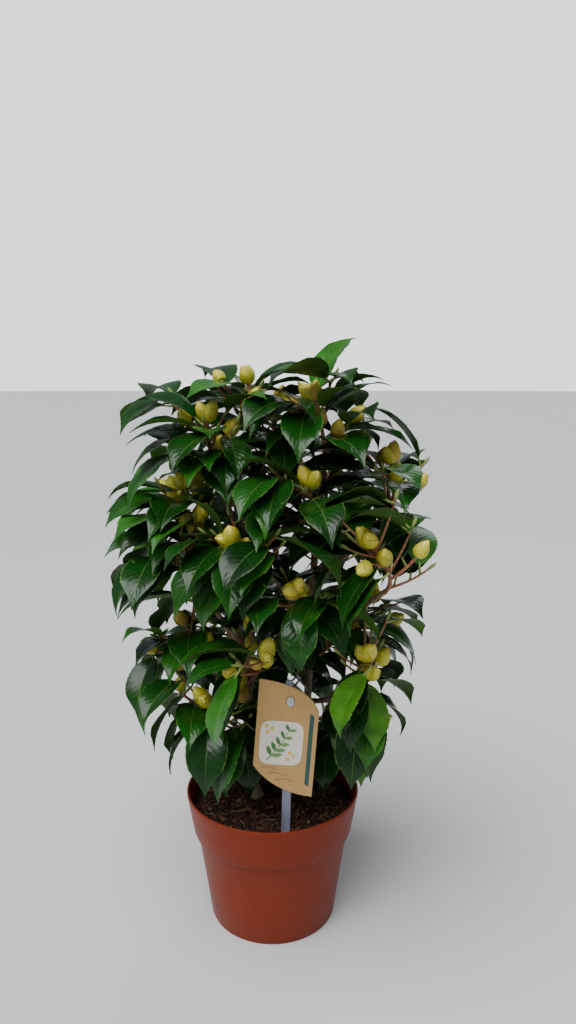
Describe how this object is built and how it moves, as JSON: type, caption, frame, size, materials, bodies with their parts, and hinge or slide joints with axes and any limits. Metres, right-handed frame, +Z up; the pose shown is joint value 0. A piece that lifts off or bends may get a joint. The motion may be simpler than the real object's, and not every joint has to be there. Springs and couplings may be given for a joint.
{
  "type": "potted camellia shrub",
  "caption": "Young camellia shrub in a round moulded nursery pot, with woody stems, arching glossy leaves and plump flower buds, and a small card label on a stick.",
  "frame": {"origin": "middle of the pot's flat underside", "axes": "+Z up along the pot's axis; -Y towards the side with the label; +X to the viewer's right"},
  "size_m": [0.302, 0.2969, 0.5689],
  "materials": {
    "pot": "semi-gloss moulded",
    "compost": "rough, damp",
    "card": "matt",
    "stick": "satin",
    "bark": "rough",
    "foliage": "glossy leaf"
  },
  "bodies": {
    "root": {"pot": "pot", "compost": "compost", "label_card": "card", "label_stick": "stick", "stem_front": "bark", "stem_right": "bark", "stem_back": "bark", "bough_left": "bark", "bough_front": "bark", "bough_top_left": "bark", "bough_top": "bark", "bough_low_right": "bark", "bough_front_right": "bark", "bough_right": "bark", "bough_back_left": "bark", "bough_back_right": "bark", "bough_back": "bark", "shoot_top": "foliage", "shoot_top_left": "foliage", "shoot_top_right": "foliage", "shoot_top_back": "foliage", "shoot_right": "foliage", "shoot_left": "foliage", "shoot_front": "foliage", "shoot_front_right": "foliage", "shoot_back": "foliage", "shoot_back_left": "foliage", "shoot_back_right": "foliage", "shoot_middle": "foliage", "shoot_mid_front": "foliage", "shoot_upper_left": "foliage", "shoot_upper_right": "foliage", "shoot_low_right": "foliage", "shoot_foot_right": "foliage", "shoot_side_right": "foliage", "shoot_low_front": "foliage", "shoot_foot_left": "foliage", "shoot_side_left": "foliage", "shoot_foot_back": "foliage", "shoot_side_back_left": "foliage", "shoot_side_back_right": "foliage"}
  },
  "joints": []
}
